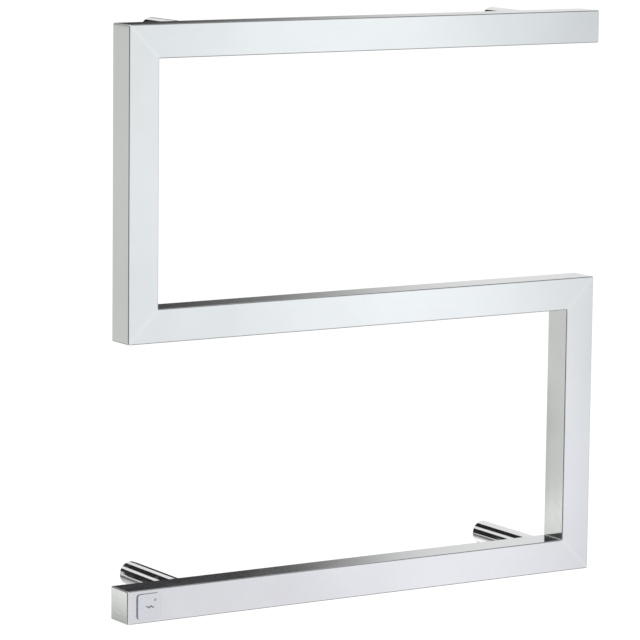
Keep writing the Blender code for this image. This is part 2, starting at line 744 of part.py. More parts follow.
def build_spacers(silicone):
    """A silicone block in each tube that holds both legs of the cable off the steel."""
    side = TUBE_INSIDE - 2 * SPACER_FIT
    places = {
        "spacer_top_bar": ((0, BAR_Z), False),
        "spacer_left_upright": ((-UPRIGHT_X, BAR_Z / 2), True),
        "spacer_middle_bar": ((0, 0), False),
        "spacer_right_upright": ((UPRIGHT_X, -BAR_Z / 2), True),
        "spacer_bottom_bar": ((0, -BAR_Z), False),
    }
    for name, ((x, z), upright) in places.items():
        outline = square(side, SPACER_EDGE)
        rings = [at(-SPACER_LENGTH / 2, outline), at(SPACER_LENGTH / 2, outline)]
        turn = (0, 0, 0) if upright else RIGHT
        block = place(name, skin(name, rings), silicone, (x, TUBE_Y, z), turn)
        for leg, across in enumerate((-CABLE_OFFSET, CABLE_OFFSET)):
            drill = rod_mesh(
                f"{name}_hole_{leg}", CABLE_DIAMETER + 2 * GAP, -SPACER_LENGTH, SPACER_LENGTH,
                middle=(across, CABLE_Y - TUBE_Y),
            )
            shape_with(block, drill, "DIFFERENCE")


def build_wiring(block_white, wire_brown, wire_blue, wire_white, copper, steel):
    """The terminal block, the leads to the cable's ends, and the thermal cut-out."""
    mesh = box_mesh("terminal_block", BLOCK_SIZE)
    block = place("terminal_block", mesh, block_white, (BLOCK_X, CABLE_Y, -BAR_Z))
    for number, height in enumerate((-CABLE_OFFSET, 0, CABLE_OFFSET)):
        outline = circle(BLOCK_TUNNEL, SMALL_SIDES)
        ends = (-BLOCK_SIZE[0], BLOCK_SIZE[0])
        tunnel = [[(x, u, height + v) for u, v in outline] for x in ends]
        shape_with(block, skin(f"tunnel_{number}", tunnel), "DIFFERENCE")

    lead_start = BLOCK_X + BLOCK_SIZE[0] / 2 - BLOCK_TUNNEL
    joint = CABLE_START_X - GAP
    for name, height, colour in (
        ("live_lead", CABLE_OFFSET, wire_brown),
        ("neutral_lead", -CABLE_OFFSET, wire_blue),
    ):
        z = -BAR_Z + height
        wire(name, [(lead_start, CABLE_Y, z), (joint, CABLE_Y, z)], LEAD_DIAMETER, colour)
        sleeve = circle(CABLE_DIAMETER + 2 * GAP + 2 * CRIMP_WALL, SMALL_SIDES)
        bore = circle(CABLE_DIAMETER + 2 * GAP, SMALL_SIDES)
        rings = [
            at(-CRIMP_LENGTH / 2, sleeve),
            at(CRIMP_LENGTH / 2, sleeve),
            at(CRIMP_LENGTH / 2, bore),
            at(-CRIMP_LENGTH / 2, bore),
        ]
        crimp = name.replace("lead", "crimp")
        place(crimp, skin(crimp, rings, through=True), copper, (joint, CABLE_Y, z), RIGHT)

    behind = FRONT_Y + HOUSING_DEPTH + LEAD_DIAMETER  # behind the switch's box
    start_x = PAD_X + HOUSING_SIDE / 4
    block_left = BLOCK_X - BLOCK_SIZE[0] / 2
    points = [
        (start_x, FRONT_Y + BOARD_DEPTH + BOARD_THICKNESS + GAP, PAD_Z),
        (start_x, behind - LEAD_DIAMETER / 2, PAD_Z),
        (start_x + LEAD_DIAMETER / 2, behind, PAD_Z),
        (block_left - 2 * LEAD_DIAMETER, behind, PAD_Z),
        (block_left - LEAD_DIAMETER, (behind + CABLE_Y) / 2, PAD_Z),
        (block_left, CABLE_Y, PAD_Z),
        (block_left + BLOCK_TUNNEL, CABLE_Y, PAD_Z),
    ]
    wire("switch_lead", points, LEAD_DIAMETER / 2, wire_white)

    back = BACK_Y - TUBE_WALL - GAP
    outline = circle(CUTOUT_DIAMETER, SMALL_SIDES)
    tip = circle(CUTOUT_DIAMETER / 2, SMALL_SIDES)
    half = CUTOUT_LENGTH / 2
    slope = CUTOUT_DIAMETER / 4
    rings = [at(-half, tip), at(-half + slope, outline), at(half - slope, outline), at(half, tip)]
    spot = (SUPPLY_X + CUTOUT_PLACE, back - CUTOUT_DIAMETER / 2, -BAR_Z)
    place("thermal_cutout", skin("thermal_cutout", rings), steel, spot, RIGHT)


def main():
    clear_scene()
    polished = finish("polished_stainless", (0.82, 0.83, 0.84), 0.12, 1.0)
    chrome = finish("chrome", (0.86, 0.87, 0.88), 0.05, 1.0)
    steel = finish("plated_steel", (0.60, 0.61, 0.62), 0.35, 1.0)
    copper = finish("tinned_copper", (0.72, 0.66, 0.60), 0.35, 1.0)
    rubber = finish("black_rubber", (0.03, 0.03, 0.03), 0.7)
    silicone = finish("red_silicone", (0.45, 0.08, 0.05), 0.5)
    spacer_grey = finish("grey_silicone", (0.45, 0.45, 0.44), 0.6)
    pale = finish("pale_plastic", (0.72, 0.73, 0.80), 0.35)
    dark = finish("dark_plastic", (0.06, 0.06, 0.07), 0.4)
    green = finish("board_green", (0.03, 0.20, 0.09), 0.4)
    clear = finish("lens_smoke", (0.42, 0.46, 0.56), 0.15)
    led = finish("led_white", (0.85, 0.85, 0.80), 0.3)
    white = finish("white_plastic", (0.80, 0.80, 0.78), 0.4)
    brown = finish("brown_insulation", (0.20, 0.09, 0.04), 0.45)
    blue = finish("blue_insulation", (0.05, 0.15, 0.50), 0.45)

    build_tubes(polished)
    build_caps(polished)
    for name in POSTS:
        build_post(name, chrome)
        build_spigot(name, steel)
        build_grub_screw(name, steel)
        build_post_joint(name, steel)
    build_supply_inlet(steel, copper, rubber)

    slide = bpy.data.objects.new("button_slide", None)
    bpy.context.scene.collection.objects.link(slide)
    slide.location = (PAD_X, FRONT_Y, PAD_Z)
    slide.rotation_euler = OUT
    build_switch_frame(pale)
    build_switch_housing(dark)
    build_board(green, dark, led)
    build_button(slide, pale, clear)
    build_spring(steel)

    build_heating_cable(silicone)
    build_spacers(spacer_grey)
    build_wiring(white, brown, blue, white, copper, steel)


main()
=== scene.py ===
import json
import bpy
import numpy as np
from mathutils import Matrix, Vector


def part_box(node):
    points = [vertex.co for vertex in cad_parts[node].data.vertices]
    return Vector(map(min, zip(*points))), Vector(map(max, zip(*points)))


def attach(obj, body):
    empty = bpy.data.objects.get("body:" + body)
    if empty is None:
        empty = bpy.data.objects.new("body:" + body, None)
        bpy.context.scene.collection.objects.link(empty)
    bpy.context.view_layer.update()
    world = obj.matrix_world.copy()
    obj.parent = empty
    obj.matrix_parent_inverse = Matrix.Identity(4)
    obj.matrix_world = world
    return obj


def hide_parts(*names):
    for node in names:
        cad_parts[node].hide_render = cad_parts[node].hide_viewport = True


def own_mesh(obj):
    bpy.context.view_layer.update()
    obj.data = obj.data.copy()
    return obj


# A wall-hung towel warmer: square polished tubes joined in an S, round chromed posts, a push switch.
# X to the right, Y into the wall, Z up, in metres. The frame says where each piece sits.

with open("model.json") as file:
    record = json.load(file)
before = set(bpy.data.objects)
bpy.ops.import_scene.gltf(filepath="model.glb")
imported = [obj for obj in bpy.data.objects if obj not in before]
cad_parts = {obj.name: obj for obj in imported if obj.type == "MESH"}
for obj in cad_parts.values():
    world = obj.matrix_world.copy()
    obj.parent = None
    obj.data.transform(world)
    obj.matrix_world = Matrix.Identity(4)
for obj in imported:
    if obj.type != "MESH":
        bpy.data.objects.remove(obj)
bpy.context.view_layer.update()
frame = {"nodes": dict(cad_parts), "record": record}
print("frame loaded:", len(frame["nodes"]), "nodes")

postNames = ("upper_left", "upper_right", "lower_left", "lower_right")
supplyPost = "lower_left"
gap = 0.0003  # the clearance that the solids keep
past = 0.002  # how far a cutter runs beyond what it cuts
sharpAngle = 35  # degrees, from which an edge is sharp


# Shapes


def roundedOblong(width, height, corner, steps):
    # four quarter circles of the corner's radius, joined by the straight sides
    turn = (np.arange(4)[:, None] + np.linspace(0, 1, steps + 1)[None, :]) * np.pi / 2
    half = (np.arange(4)[:, None] + 0.5) * np.pi / 2
    x = (width / 2 - corner) * np.sign(np.cos(half)) + corner * np.cos(turn)
    y = (height / 2 - corner) * np.sign(np.sin(half)) + corner * np.sin(turn)
    return np.stack([x, y], axis=-1).reshape(-1, 2)


def roundedSquare(side, corner, steps):
    # the same, as wide as it is high
    return roundedOblong(side, side, corner, steps)


def circleOutline(diameter, sides):
    # points at equal turns, half the diameter away from the middle
    turn = np.arange(sides) * 2 * np.pi / sides
    return np.stack([np.cos(turn), np.sin(turn)], axis=-1) * diameter / 2


def hexOutline(acrossFlats, sides):
    # the distance to a flat, divided by the cosine of the angle from that flat's middle
    turn = np.arange(sides) * 2 * np.pi / sides
    offFlat = (turn + np.pi / 6) % (np.pi / 3) - np.pi / 6
    reach = acrossFlats / 2 / np.cos(offFlat)
    return np.stack([reach * np.cos(turn), reach * np.sin(turn)], axis=-1)


def stack(outlines, heights):
    # each outline becomes a ring of points at its own height
    rings = [np.column_stack([o, np.full(len(o), h)]) for o, h in zip(outlines, heights)]
    return np.array(rings)


def skinOver(name, rings, through=False):
    # quads between neighbouring rings: point i of one ring meets point i of the next
    count, around = rings.shape[:2]
    last = count if through else count - 1
    ring, spot = np.meshgrid(np.arange(last), np.arange(around), indexing="ij")
    after, beside = (ring + 1) % count, (spot + 1) % around
    corners = [ring * around + spot, ring * around + beside,
               after * around + beside, after * around + spot]
    faces = np.stack(corners, axis=-1).reshape(-1, 4).tolist()
    if not through:
        faces.append(list(range(around))[::-1])
        faces.append(list(range((count - 1) * around, count * around)))
    mesh = bpy.data.meshes.new(name)
    mesh.from_pydata(rings.reshape(-1, 3).tolist(), [], faces)
    return outward(mesh)


def outward(mesh):
    # a closed mesh whose faces point inwards has a negative volume
    mesh.calc_loop_triangles()
    points = np.zeros(len(mesh.vertices) * 3)
    mesh.vertices.foreach_get("co", points)
    points = points.reshape(-1, 3)
    triangles = np.zeros(len(mesh.loop_triangles) * 3, dtype=np.int32)
    mesh.loop_triangles.foreach_get("vertices", triangles)
    a, b, c = (points[triangles.reshape(-1, 3)[:, i]] for i in range(3))
    if np.einsum("ij,ij->i", a, np.cross(b, c)).sum() < 0:
        mesh.flip_normals()
    return mesh


def setValue(mesh, name, values):
    # one number at each point, which a material can read by its name
    layer = mesh.attributes.new(name, "FLOAT", "POINT")
    layer.data.foreach_set("value", np.asarray(values, dtype=np.float32).ravel())


def facing(rings, where, way):
    # rings drawn with their heights along Z, turned so that the heights run along the way given
    x, y, z = rings[..., 0], rings[..., 1], rings[..., 2]
    turned = {
        "out": np.stack([x, -z, y], axis=-1),
        "right": np.stack([z, x, y], axis=-1),
        "left": np.stack([-z, -x, y], axis=-1),
        "down": np.stack([x, -y, -z], axis=-1),
    }[way]
    return turned + np.asarray(where)


def newPiece(name, mesh, material):
    piece = bpy.data.objects.new(name, mesh)
    bpy.context.scene.collection.objects.link(piece)
    mesh.materials.clear()
    mesh.materials.append(material)
    return piece


def carve(piece, tools, operation="DIFFERENCE"):
    # cuts the meshes away from the piece, or joins them to it
    for mesh in tools:
        tool = bpy.data.objects.new(mesh.name, mesh)
        bpy.context.scene.collection.objects.link(tool)
        step = piece.modifiers.new(mesh.name, "BOOLEAN")
        step.operation = operation
        step.solver = "EXACT"
        step.object = tool
        settle(piece)
        bpy.data.objects.remove(tool)


def settle(piece):
    # the modifiers' result becomes the piece's own mesh
    graph = bpy.context.evaluated_depsgraph_get()
    made = bpy.data.meshes.new_from_object(
        piece.evaluated_get(graph), preserve_all_data_layers=True, depsgraph=graph)
    piece.modifiers.clear()
    piece.data = made
    made.name = piece.name


def soften(piece, width, steps=3):
    # rounds the sharp edges
    bevel = piece.modifiers.new("bevel", "BEVEL")
    bevel.width = width
    bevel.segments = steps
    bevel.limit_method = "ANGLE"
    bevel.angle_limit = np.radians(sharpAngle)
    settle(piece)


def shade(piece, sharp=sharpAngle):
    # smooth within the angle, with the large flat faces deciding how their edges are shaded
    piece.data.shade_smooth()
    piece.data.set_sharp_from_angle(angle=np.radians(sharp))
    weighted = piece.modifiers.new("weighted", "WEIGHTED_NORMAL")
    weighted.keep_sharp = True
    weighted.weight = 100
    settle(piece)


def finished(piece, body, replaced, sharp=sharpAngle):
    shade(piece, sharp)
    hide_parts(*replaced)
    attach(piece, body)


# Finishes: clouds of two tones, a fine grain in the surface, and roughness that varies


def mixColour(tree, share, first, second, blend="MIX"):
    # a Mix node takes its share at socket 0 and its colours at 6 and 7, and gives a colour at 2
    mix = tree.nodes.new("ShaderNodeMix")
    mix.data_type = "RGBA"
    mix.blend_type = blend
    for socket, value in ((0, share), (6, first), (7, second)):
        if isinstance(value, bpy.types.NodeSocket):
            tree.links.new(value, mix.inputs[socket])
        else:
            mix.inputs[socket].default_value = value if socket == 0 else (*value, 1)
    return mix.outputs[2]


def mixNumber(tree, kind, first, second):
    maths = tree.nodes.new("ShaderNodeMath")
    maths.operation = kind
    for socket, value in enumerate((first, second)):
        if isinstance(value, bpy.types.NodeSocket):
            tree.links.new(value, maths.inputs[socket])
        else:
            maths.inputs[socket].default_value = value
    return maths.outputs[0]


def noiseOver(tree, scale, detail, roughness=0.55):
    # a pattern fixed to the piece: the scale is how many times it repeats in a metre, one number
    # for all axes or one for each
    place = tree.nodes.new("ShaderNodeTexCoord")
    mapping = tree.nodes.new("ShaderNodeMapping")
    mapping.inputs["Scale"].default_value = (scale,) * 3 if np.isscalar(scale) else scale
    noise = tree.nodes.new("ShaderNodeTexNoise")
    noise.inputs["Scale"].default_value = 1.0
    noise.inputs["Detail"].default_value = detail
    noise.inputs["Roughness"].default_value = roughness
    tree.links.new(place.outputs["Object"], mapping.inputs["Vector"])
    tree.links.new(mapping.outputs["Vector"], noise.inputs["Vector"])
    return noise.outputs["Fac"]


def ranged(tree, value, low, high, fromLow=0.3, fromHigh=0.7):
    # a pattern's values between fromLow and fromHigh, spread over low to high
    spread = tree.nodes.new("ShaderNodeMapRange")
    spread.inputs["From Min"].default_value = fromLow
    spread.inputs["From Max"].default_value = fromHigh
    spread.inputs["To Min"].default_value = low
    spread.inputs["To Max"].default_value = high
    tree.links.new(value, spread.inputs["Value"])
    return spread.outputs["Result"]


def valueOf(tree, name):
    attribute = tree.nodes.new("ShaderNodeAttribute")
    attribute.attribute_name = name
    return attribute.outputs["Fac"]


def makeFinish(name, look):
    made = bpy.data.materials.new(name)
    made.use_nodes = True
    tree = made.node_tree
    shader = tree.nodes["Principled BSDF"]
    shader.inputs["Metallic"].default_value = look.get("metallic", 0.0)
    for socket, value in look.get("sockets", {}).items():
        shader.inputs[socket].default_value = value

    clouds = noiseOver(tree, look["cloudScale"], detail=4.0)
    colour = mixColour(tree, ranged(tree, clouds, 0, 1), look["tones"][0], look["tones"][1])
    rough = ranged(tree, clouds, *look["roughness"])

    grain = noiseOver(tree, look["grainScale"], detail=2.0, roughness=0.6)
    if "grainTone" in look:
        share = ranged(tree, grain, 0, look["grainTone"])
        colour = mixColour(tree, share, colour, look["grainColour"])
    if "grainRough" in look:
        rough = mixNumber(tree, "ADD", rough, ranged(tree, grain, 0, look["grainRough"]))
    if "smudge" in look:
        # a few duller patches, where hands have been
        patches = noiseOver(tree, look["smudge"]["scale"], detail=5.0)
        amount = ranged(tree, patches, 0, look["smudge"]["amount"], fromLow=0.52, fromHigh=0.72)
        rough = mixNumber(tree, "ADD", rough, amount)
    for line, tint in look.get("paintedLines", {}).items():
        # a line that the mesh marks, such as a rounded edge or a dressed weld, with light or shade painted
        # into its colour: a dark reflection painted along the edge, a highlight painted along the weld
        share = mixNumber(tree, "MULTIPLY", valueOf(tree, line), tint["share"])
        colour = mixColour(tree, share, colour, tint["colour"])
        rough = mixNumber(tree, "ADD", rough, mixNumber(
            tree, "MULTIPLY", valueOf(tree, line), tint["rough"]))

    bump = tree.nodes.new("ShaderNodeBump")
    bump.inputs["Strength"].default_value = look["bump"][0]
    bump.inputs["Distance"].default_value = look["bump"][1]
    tree.links.new(grain, bump.inputs["Height"])
    tree.links.new(bump.outputs["Normal"], shader.inputs["Normal"])
    tree.links.new(colour, shader.inputs["Base Color"])
    tree.links.new(rough, shader.inputs["Roughness"])
    return made


def polishedTube(name, grainScale):
    # stainless polished along the tube, with a highlight painted along the dressed welds and a dark
    # reflection painted along the arrises
    return makeFinish(name, {
        "metallic": 1.0,
        "tones": ((0.80, 0.81, 0.82), (0.85, 0.86, 0.87)),
        "cloudScale": 11,
        "roughness": (0.075, 0.095),
        "grainScale": grainScale,
        "grainTone": 0.12,
        "grainColour": (0.70, 0.71, 0.72),
        "grainRough": 0.02,
        "bump": (0.04, 0.0002),
        "smudge": {"scale": 26, "amount": 0.03},
        "paintedLines": {
            # a dark reflection painted along the rounded edges
            "arris": {"share": 0.8, "colour": (0.30, 0.31, 0.32), "rough": 0.05},
            # a highlight painted along the dressed welds
            "weld": {"share": 0.16, "colour": (0.96, 0.97, 0.98), "rough": 0.04},
        },
    })


grainAlong, grainAcross = 9, 1300  # repeats in a metre, with and against the polishing
steelAlongX = polishedTube("polished steel, bars", (grainAlong, grainAcross, grainAcross))
steelAlongZ = polishedTube("polished steel, uprights", (grainAcross, grainAcross, grainAlong))
steelEnd = polishedTube("polished steel, ends", grainAcross / 3)

chrome = makeFinish("chrome plate", {
    "metallic": 1.0,
    "tones": ((0.88, 0.885, 0.89), (0.91, 0.915, 0.92)),
    "cloudScale": 30,
    "roughness": (0.035, 0.06),
    "grainScale": (700, 40, 700),
    "grainRough": 0.02,
    "bump": (0.02, 0.00005),
    "smudge": {"scale": 60, "amount": 0.06},
})
zinc = makeFinish("zinc plate", {
    "metallic": 1.0,
    "tones": ((0.56, 0.57, 0.60), (0.66, 0.66, 0.64)),
    "cloudScale": 140,
    "roughness": (0.28, 0.42),
    "grainScale": (900, 2500, 900),
    "grainTone": 0.3,
    "grainColour": (0.42, 0.42, 0.44),
    "bump": (0.12, 0.0001),
})
tin = makeFinish("tinned copper", {
    "metallic": 1.0,
    "tones": ((0.70, 0.65, 0.60), (0.76, 0.73, 0.70)),
    "cloudScale": 220,
    "roughness": (0.3, 0.42),
    "grainScale": 1500,
    "bump": (0.15, 0.0001),
})
padPlastic = makeFinish("pale switch plastic", {
    "tones": ((0.52, 0.53, 0.575), (0.55, 0.56, 0.60)),
    "cloudScale": 90,
    "roughness": (0.32, 0.4),
    "grainScale": 4200,
    "grainTone": 0.08,
    "grainColour": (0.42, 0.43, 0.47),
    "bump": (0.12, 0.00004),
    "sockets": {"Coat Weight": 0.15, "Coat Roughness": 0.2},
})
framePlastic = makeFinish("pale frame plastic", {
    "tones": ((0.60, 0.62, 0.67), (0.64, 0.66, 0.70)),
    "cloudScale": 90,
    "roughness": (0.35, 0.45),
    "grainScale": 4200,
    "bump": (0.12, 0.00004),
})
darkPlastic = makeFinish("dark moulded plastic", {
    "tones": ((0.035, 0.037, 0.042), (0.055, 0.056, 0.062)),
    "cloudScale": 120,
    "roughness": (0.38, 0.5),
    "grainScale": 3200,
    "bump": (0.2, 0.00005),
})
markInk = makeFinish("grey print", {
    "tones": ((0.035, 0.038, 0.05), (0.055, 0.06, 0.075)),
    "cloudScale": 900,
    "roughness": (0.45, 0.6),
    "grainScale": 5000,
    "bump": (0.1, 0.00002),
})
smokedLens = makeFinish("smoked lens", {
    "tones": ((0.30, 0.34, 0.44), (0.36, 0.40, 0.50)),
    "cloudScale": 600,
    "roughness": (0.08, 0.12),
    "grainScale": 3000,
    "bump": (0.03, 0.00002),
    "sockets": {"Coat Weight": 0.6, "Coat Roughness": 0.05},
})
rubber = makeFinish("black rubber", {
    "tones": ((0.022, 0.022, 0.023), (0.036, 0.036, 0.036)),
    "cloudScale": 160,
    "roughness": (0.6, 0.75),
    "grainScale": 2500,
    "bump": (0.3, 0.0001),
})
redSilicone = makeFinish("red silicone", {
    "tones": ((0.40, 0.065, 0.04), (0.47, 0.09, 0.055)),
    "cloudScale": 60,
    "roughness": (0.42, 0.55),
    "grainScale": 1800,
    "bump": (0.15, 0.0001),
})
greySilicone = makeFinish("grey silicone", {
    "tones": ((0.40, 0.40, 0.39), (0.47, 0.47, 0.46)),
    "cloudScale": 110,
    "roughness": (0.5, 0.65),
    "grainScale": 1800,
    "bump": (0.2, 0.0001),
})
whitePlastic = makeFinish("white moulded plastic", {
    "tones": ((0.76, 0.76, 0.73), (0.82, 0.82, 0.80)),
    "cloudScale": 100,
    "roughness": (0.35, 0.48),
    "grainScale": 3000,
    "bump": (0.15, 0.00005),
})
boardGreen = makeFinish("green lacquered board", {
    "tones": ((0.02, 0.15, 0.06), (0.035, 0.21, 0.09)),
    "cloudScale": 500,
    "roughness": (0.25, 0.38),
    "grainScale": 4000,
    "grainTone": 0.25,
    "grainColour": (0.06, 0.27, 0.12),
    "bump": (0.2, 0.00005),
})
brownWire = makeFinish("brown insulation", {
    "tones": ((0.16, 0.07, 0.03), (0.21, 0.095, 0.045)),
    "cloudScale": 200,
    "roughness": (0.38, 0.5),
    "grainScale": 2600,
    "bump": (0.1, 0.00005),
})
blueWire = makeFinish("blue insulation", {
    "tones": ((0.035, 0.12, 0.42), (0.055, 0.16, 0.5)),
    "cloudScale": 200,
    "roughness": (0.38, 0.5),
    "grainScale": 2600,
    "bump": (0.1, 0.00005),
})
print("finishes made")


# The square tube

tubeLook = dict(wall=0.0015, arris=0.0011, inside=0.0004, arrisSteps=5,
                cornerOutside=0.0012, cornerInside=0.0006, cornerSteps=4, weldFade=0.0035)
capLook = dict(plate=0.0015, edgeSteps=6, bossReach=0.006, bossWall=0.002, bossCorner=0.0007,
               insideCorner=0.0004)
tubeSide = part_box("left_upright")[1].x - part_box("left_upright")[0].x
tubeFront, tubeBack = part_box("top_bar")[0].y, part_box("top_bar")[1].y
tubeMiddle = (tubeFront + tubeBack) / 2
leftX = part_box("left_upright")[0].x + tubeSide / 2
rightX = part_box("right_upright")[1].x - tubeSide / 2
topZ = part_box("top_bar")[1].z - tubeSide / 2
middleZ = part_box("middle_bar")[1].z - tubeSide / 2
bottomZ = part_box("bottom_bar")[0].z + tubeSide / 2
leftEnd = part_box("bottom_end_cap")[0].x
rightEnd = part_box("top_end_cap")[1].x


def tubeEnd(outline, where, outwards, bend, radii, steps, fade=0):
    # Rings from the straight of a tube to its end. At a square end there is one ring. At a corner
    # the cut runs at 45 degrees, and each line of the outline turns through an eighth of a circle
    # before it, so that the two tubes meet in a rounded corner. The first ring stands back by fade.
    u, v = outline[:, 0], outline[:, 1]
    if bend == 0:
        return np.stack([np.full_like(u, where), u, v], axis=-1)[None]
    inwards = bend * u
    span = np.ptp(u)
    radius = radii[0] + (radii[1] - radii[0]) * (inwards / span + 0.5)
    turn = np.linspace(0, np.pi / 4, steps)[:, None]
    along = where - outwards * (inwards + radius * (1 - np.sin(turn)))
    across = bend * (inwards + radius * (1 - np.cos(turn)))
    if fade:
        along = np.concatenate([along[:1] - outwards * fade, along])
        across = np.concatenate([across[:1], across])
    return np.stack([along, across, np.broadcast_to(v, along.shape)], axis=-1)


def makeTube(name, upright, across, start, finish, bends, material):
    # The outer skin's rings run from end to end, and the inner skin's run back. One value marks the rounded
    # edges, as a hump of a sine across each, and another marks the welds; the finish paints a dark
    # reflection along the first and a highlight along the second.
    look = tubeLook
    outer = roundedSquare(tubeSide, look["arris"], look["arrisSteps"])
    inner = roundedSquare(tubeSide - 2 * look["wall"], look["inside"], look["arrisSteps"])
    radii = (look["cornerOutside"], look["cornerInside"])
    steps, fade = look["cornerSteps"], look["weldFade"]
    first = tubeEnd(outer, start, -1, bends[0], radii, steps, fade)[::-1]
    second = tubeEnd(outer, finish, 1, bends[1], radii, steps, fade)
    back = tubeEnd(inner, finish, 1, bends[1], (0, 0), 1)
    front = tubeEnd(inner, start, -1, bends[0], (0, 0), 1)
    rings = np.concatenate([first, second, back, front])
    along, u, v = rings[..., 0], rings[..., 1] + across, rings[..., 2] + tubeMiddle
    points = np.stack([u, v, along] if upright else [along, v, u], axis=-1)
    mesh = skinOver(name, points, through=True)

    hump = np.sin(np.pi * np.linspace(0, 1, look["arrisSteps"] + 1))
    arris = np.zeros(rings.shape[:2])
    arris[: len(first) + len(second)] = np.tile(hump, 4)
    weld = np.zeros(rings.shape[:2])
    if bends[0]:
        weld[:steps] = 1
    if bends[1]:
        weld[len(first) + 1: len(first) + 1 + steps] = 1
    setValue(mesh, "arris", arris)
    setValue(mesh, "weld", weld)
    return newPiece(name, mesh, material)


def roundCutter(name, diameter, middle, nearY, farY, sides=48):
    # a rod along Y, as a circle drawn at each end
    outline = circleOutline(diameter, sides)
    rings = stack([outline, outline], [-farY, -nearY])
    return skinOver(name, facing(rings, (middle[0], 0, middle[1]), "out"))


def postMiddle(name):
    low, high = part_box(f"post_{name}")
    return (low.x + high.x) / 2, (low.z + high.z) / 2


# where each tube's middle line lies, where it starts and ends, and which way its ends are mitred
bars = {
    "top_bar": (topZ, leftX, rightEnd - capLook["plate"], (-1, 0)),
    "middle_bar": (middleZ, leftX, rightX, (1, -1)),
    "bottom_bar": (bottomZ, leftEnd + capLook["plate"], rightX, (0, 1)),
}
uprights = {
    "left_upright": (leftX, middleZ, topZ, (1, 1)),
    "right_upright": (rightX, bottomZ, middleZ, (-1, -1)),
}
rail = {}
for name, place in bars.items():
    rail[name] = makeTube(f"{name}_tube", False, *place, steelAlongX)
for name, place in uprights.items():
    rail[name] = makeTube(f"{name}_tube", True, *place, steelAlongZ)
nutHole = dict(plain=0.0096, supply=0.0126)  # in the back wall, round the nuts
nutWall = tubeBack - tubeLook["wall"]
for name in postNames:
    bar = rail["top_bar" if "upper" in name else "bottom_bar"]
    hole = nutHole["supply" if name == supplyPost else "plain"]
    carve(bar, [roundCutter(f"nut_hole_{name}", hole, postMiddle(name), nutWall - past, tubeBack + past)])

padLow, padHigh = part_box("switch_button")
padX, padZ = (padLow.x + padHigh.x) / 2, (padLow.z + padHigh.z) / 2
switchHole = dict(side=0.0210, corner=0.003, steps=6, reach=0.004)  # through the front wall
outline = roundedSquare(switchHole["side"], switchHole["corner"], switchHole["steps"])
rings = stack([outline, outline], [-switchHole["reach"], switchHole["reach"]])
carve(rail["bottom_bar"], [skinOver("switch_hole", facing(rings, (padX, tubeFront, padZ), "out"))])
for name, tube in rail.items():
    finished(tube, "rail", [name])
print("tubes made")


def makeCap(name, where, way, replaced):
    # A plate whose face has rounded edges: as its height grows by one minus the cosine of the
    # turn, its inset falls by the sine. Behind it a hollow boss goes into the tube.
    look = capLook
    edge, steps = tubeLook["arris"], tubeLook["arrisSteps"]
    turn = np.linspace(0, np.pi / 2, look["edgeSteps"])
    insets = edge * (1 - np.sin(turn))
    outlines = [roundedSquare(tubeSide - 2 * inset, edge - inset / 2, steps) for inset in insets]
    heights = list(edge * (1 - np.cos(turn)))
    boss = tubeSide - 2 * tubeLook["wall"] - 2 * gap
    inside = boss - 2 * look["bossWall"]
    plate, reach = look["plate"], look["plate"] + look["bossReach"]
    for side, corner, height in ((tubeSide, edge, plate), (boss, look["bossCorner"], plate),
                                 (boss, look["bossCorner"], reach),
                                 (inside, look["insideCorner"], reach),
                                 (inside, look["insideCorner"], plate)):
        outlines.append(roundedSquare(side, corner, steps))
        heights.append(height)
    mesh = skinOver(name, facing(stack(outlines, heights), where, way))
    rounds = np.zeros((len(outlines), len(outlines[0])))
    rounds[: len(turn)] = np.sin(np.pi * np.linspace(0, 1, len(turn)))[:, None]
    # the finish paints a dark reflection along these rounded edges
    setValue(mesh, "arris", rounds)
    finished(newPiece(name, mesh, steelEnd), "rail", [replaced])


makeCap("bottom_bar_end", (leftEnd, tubeMiddle, bottomZ), "right", "bottom_end_cap")
makeCap("top_bar_end", (rightEnd, tubeMiddle, topZ), "left", "top_end_cap")


# The posts and what holds them to the wall

postLook = dict(diameter=0.022, inside=0.019, round=0.0005, sides=96, grub=0.0046, grubPlace=0.007,
                grubSides=32)
spigotLook = dict(groove=(0.0045, 0.0095), grooveDepth=0.0012, bore=0.0055, headBore=0.0105,
                  headDepth=0.0025, cableBore=0.0086, sideHole=0.0026, sideHoleSides=24,
                  chamfer=0.0008, round=0.00025, roundSteps=2, sides=72)


def turnedPiece(name, profile, where, sides, material):
    # the profile's (diameter, height) pairs carried round an axis that points out from the wall,
    # from its start and back to it
    outlines = [circleOutline(diameter, sides) for diameter, _ in profile]
    heights = [height for _, height in profile]
    rings = facing(stack(outlines, heights), where, "out")
    return newPiece(name, skinOver(name, rings, through=True), material)


def makePost(name):
    # a turned tube with rounded ends, and a hole from its bore downwards for the grub screw
    look = postLook
    x, z = postMiddle(name)
    wallEnd, railEnd = -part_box(f"post_{name}")[1].y, -tubeBack
    profile = [(look["diameter"], wallEnd), (look["diameter"], railEnd),
               (look["inside"], railEnd), (look["inside"], wallEnd)]
    post = turnedPiece(f"{name}_post", profile, (x, 0, z), look["sides"], chrome)
    soften(post, look["round"])
    hole = circleOutline(look["grub"], look["grubSides"])
    rings = stack([hole, hole], [look["diameter"] / 4, look["diameter"]])
    carve(post, [skinOver("grub_hole", facing(rings, (x, -look["grubPlace"], z), "down"))])
    finished(post, "rail", [f"post_{name}"])


